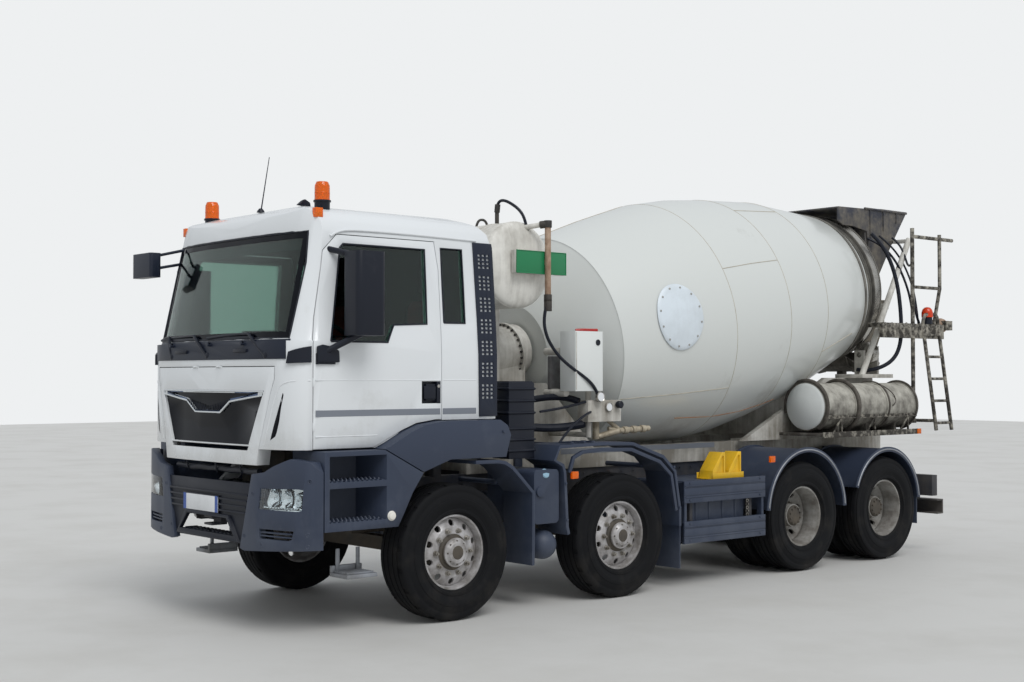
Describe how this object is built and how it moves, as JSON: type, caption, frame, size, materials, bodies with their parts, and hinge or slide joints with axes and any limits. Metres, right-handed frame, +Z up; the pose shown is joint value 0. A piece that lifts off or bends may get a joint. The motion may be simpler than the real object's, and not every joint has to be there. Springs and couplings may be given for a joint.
{
  "type": "concrete mixer truck",
  "caption": "Four-axle truck with a tilting cab, a sloping mixing drum on rollers, water tank, feed hopper, rear platform with ladder, and a swivelling discharge chute.",
  "frame": {"origin": "on the ground under the middle of the truck's overall box", "axes": "+Z up, the front faces -Y, the truck's own left side is +X"},
  "size_m": [2.76, 8.9, 3.745],
  "materials": {
    "white_paint": "gloss",
    "grey_plastic": "satin",
    "dark_plastic": "matt",
    "cab_window": "clear",
    "frame_paint": "satin",
    "mixer_paint": "satin",
    "drum_paint": "satin",
    "tyre_rubber": "matt",
    "rim_paint": "satin",
    "lamp_lens": "gloss",
    "amber_plastic": "gloss",
    "yellow_plastic": "satin",
    "stained_steel": "matt",
    "arm_paint": "satin",
    "chromed_rod": "polished",
    "seat_fabric": "matt",
    "cast_iron": "matt",
    "roller_steel": "worn",
    "tank_metal": "satin"
  },
  "bodies": {
    "chassis": {"frame": "frame_paint", "mixer_frame": "mixer_paint", "bumper": "grey_plastic", "lamps": "lamp_lens", "cab_steps": "grey_plastic", "axles": "frame_paint", "engine": "cast_iron", "air_intake": "dark_plastic", "side_tanks": "tank_metal", "side_boxes": "frame_paint", "side_guards": "grey_plastic", "wheel_chocks": "yellow_plastic", "mudguards": "grey_plastic", "bumper_grid": "dark_plastic", "drum_gearbox": "mixer_paint", "water_tank": "mixer_paint", "water_panel": "mixer_paint", "chute_rack": "stained_steel", "hoppers": "stained_steel", "platform": "stained_steel"},
    "cab": {"cab_shell": "white_paint", "cab_glass": "cab_window", "cab_arches": "grey_plastic", "cab_trim": "dark_plastic", "cab_interior": "seat_fabric", "roof_beacons": "amber_plastic"},
    "left_door": {"door_left": "white_paint", "door_glass_left": "cab_window", "mirror_left": "dark_plastic"},
    "right_door": {"door_right": "white_paint", "door_glass_right": "cab_window", "mirror_right": "dark_plastic"},
    "flap": {"front_flap": "white_paint"},
    "steer_1_left": {"knuckle_1_left": "cast_iron"},
    "wheel_1_left": {"tyre_1_left": "tyre_rubber", "rim_1_left": "rim_paint"},
    "steer_1_right": {"knuckle_1_right": "cast_iron"},
    "wheel_1_right": {"tyre_1_right": "tyre_rubber", "rim_1_right": "rim_paint"},
    "steer_2_left": {"knuckle_2_left": "cast_iron"},
    "wheel_2_left": {"tyre_2_left": "tyre_rubber", "rim_2_left": "rim_paint"},
    "steer_2_right": {"knuckle_2_right": "cast_iron"},
    "wheel_2_right": {"tyre_2_right": "tyre_rubber", "rim_2_right": "rim_paint"},
    "wheel_3_left": {"tyre_3_left": "tyre_rubber", "rim_3_left": "rim_paint"},
    "wheel_3_right": {"tyre_3_right": "tyre_rubber", "rim_3_right": "rim_paint"},
    "wheel_4_left": {"tyre_4_left": "tyre_rubber", "rim_4_left": "rim_paint"},
    "wheel_4_right": {"tyre_4_right": "tyre_rubber", "rim_4_right": "rim_paint"},
    "drum_body": {"drum": "drum_paint"},
    "left_roller": {"roller_left": "roller_steel"},
    "right_roller": {"roller_right": "roller_steel"},
    "swivel_arm": {"chute_arm": "arm_paint"},
    "chute_body": {"chute": "stained_steel"},
    "ram_barrel": {"chute_cylinder": "arm_paint"},
    "ram_rod": {"chute_rod": "chromed_rod"}
  },
  "joints": [
    {"name": "cab_tilt", "type": "hinge", "parent": "chassis", "child": "cab", "pos_m": [0, -4.25, 0.8], "axis": [1, 0, 0], "range_deg": [0, 60]},
    {"name": "left_door_hinge", "type": "hinge", "parent": "cab", "child": "left_door", "pos_m": [1.108, -4.2, 1.9], "axis": [0, 0, -1], "range_deg": [0, 75]},
    {"name": "right_door_hinge", "type": "hinge", "parent": "cab", "child": "right_door", "pos_m": [-1.108, -4.2, 1.9], "axis": [0, 0, 1], "range_deg": [0, 75]},
    {"name": "front_flap_hinge", "type": "hinge", "parent": "cab", "child": "flap", "pos_m": [0, -4.444, 1.9475], "axis": [-1, 0, 0], "range_deg": [0, 75]},
    {"name": "steering_1_left", "type": "hinge", "parent": "chassis", "child": "steer_1_left", "pos_m": [0.93, -2.975, 0.525], "axis": [0, 0, 1], "range_deg": [-38, 38]},
    {"name": "wheel_1_left_spin", "type": "hinge", "parent": "steer_1_left", "child": "wheel_1_left", "pos_m": [1.079, -2.975, 0.525], "axis": [1, 0, 0], "continuous": true},
    {"name": "steering_1_right", "type": "hinge", "parent": "chassis", "child": "steer_1_right", "pos_m": [-0.93, -2.975, 0.525], "axis": [0, 0, 1], "range_deg": [-38, 38]},
    {"name": "wheel_1_right_spin", "type": "hinge", "parent": "steer_1_right", "child": "wheel_1_right", "pos_m": [-1.079, -2.975, 0.525], "axis": [1, 0, 0], "continuous": true},
    {"name": "steering_2_left", "type": "hinge", "parent": "chassis", "child": "steer_2_left", "pos_m": [0.93, -1.18, 0.525], "axis": [0, 0, 1], "range_deg": [-24.5, 24.5]},
    {"name": "wheel_2_left_spin", "type": "hinge", "parent": "steer_2_left", "child": "wheel_2_left", "pos_m": [1.079, -1.18, 0.525], "axis": [1, 0, 0], "continuous": true},
    {"name": "steering_2_right", "type": "hinge", "parent": "chassis", "child": "steer_2_right", "pos_m": [-0.93, -1.18, 0.525], "axis": [0, 0, 1], "range_deg": [-24.5, 24.5]},
    {"name": "wheel_2_right_spin", "type": "hinge", "parent": "steer_2_right", "child": "wheel_2_right", "pos_m": [-1.079, -1.18, 0.525], "axis": [1, 0, 0], "continuous": true},
    {"name": "wheel_3_left_spin", "type": "hinge", "parent": "chassis", "child": "wheel_3_left", "pos_m": [0.9065, 1.325, 0.525], "axis": [1, 0, 0], "continuous": true},
    {"name": "wheel_3_right_spin", "type": "hinge", "parent": "chassis", "child": "wheel_3_right", "pos_m": [-0.9065, 1.325, 0.525], "axis": [1, 0, 0], "continuous": true},
    {"name": "wheel_4_left_spin", "type": "hinge", "parent": "chassis", "child": "wheel_4_left", "pos_m": [0.9065, 2.675, 0.525], "axis": [1, 0, 0], "continuous": true},
    {"name": "wheel_4_right_spin", "type": "hinge", "parent": "chassis", "child": "wheel_4_right", "pos_m": [-0.9065, 2.675, 0.525], "axis": [1, 0, 0], "continuous": true},
    {"name": "drum_spin", "type": "hinge", "parent": "chassis", "child": "drum_body", "pos_m": [0, -0.898, 2.188], "axis": [0, 0.9867, 0.1626], "continuous": true},
    {"name": "left_roller_spin", "type": "hinge", "parent": "chassis", "child": "left_roller", "pos_m": [0.57318, 3.2766, 2.13257], "axis": [0, 0.9867, 0.1626], "continuous": true},
    {"name": "right_roller_spin", "type": "hinge", "parent": "chassis", "child": "right_roller", "pos_m": [-0.57318, 3.2766, 2.13257], "axis": [0, 0.9867, 0.1626], "continuous": true},
    {"name": "chute_swivel", "type": "hinge", "parent": "chassis", "child": "swivel_arm", "pos_m": [0, 3.75, 1.5], "axis": [0, 0, -1], "range_deg": [0, 120]},
    {"name": "chute_tilt", "type": "hinge", "parent": "swivel_arm", "child": "chute_body", "pos_m": [-0.1, 3.75, 1.862], "axis": [0, 1, 0], "range_deg": [-25, 10]},
    {"name": "ram_swing", "type": "hinge", "parent": "swivel_arm", "child": "ram_barrel", "pos_m": [-0.15, 3.75, 1.39], "axis": [0, 1, 0], "range_deg": [-14.5, 6]},
    {"name": "ram_stroke", "type": "slide", "parent": "ram_barrel", "child": "ram_rod", "axis": [-0.7132, 0, 0.701], "range_m": [-0.176, 0.071]}
  ],
  "couplings": [
    {"joint": "steering_1_right", "follows": "steering_1_left", "ratio": 1},
    {"joint": "steering_2_left", "follows": "steering_1_left", "ratio": 0.64},
    {"joint": "steering_2_right", "follows": "steering_1_left", "ratio": 0.64},
    {"joint": "left_roller_spin", "follows": "drum_spin", "ratio": -6.4},
    {"joint": "right_roller_spin", "follows": "drum_spin", "ratio": -6.4},
    {"joint": "ram_swing", "follows": "chute_tilt", "ratio": 0.56},
    {"joint": "ram_stroke", "follows": "chute_tilt", "m_per_rad": 0.391}
  ]
}
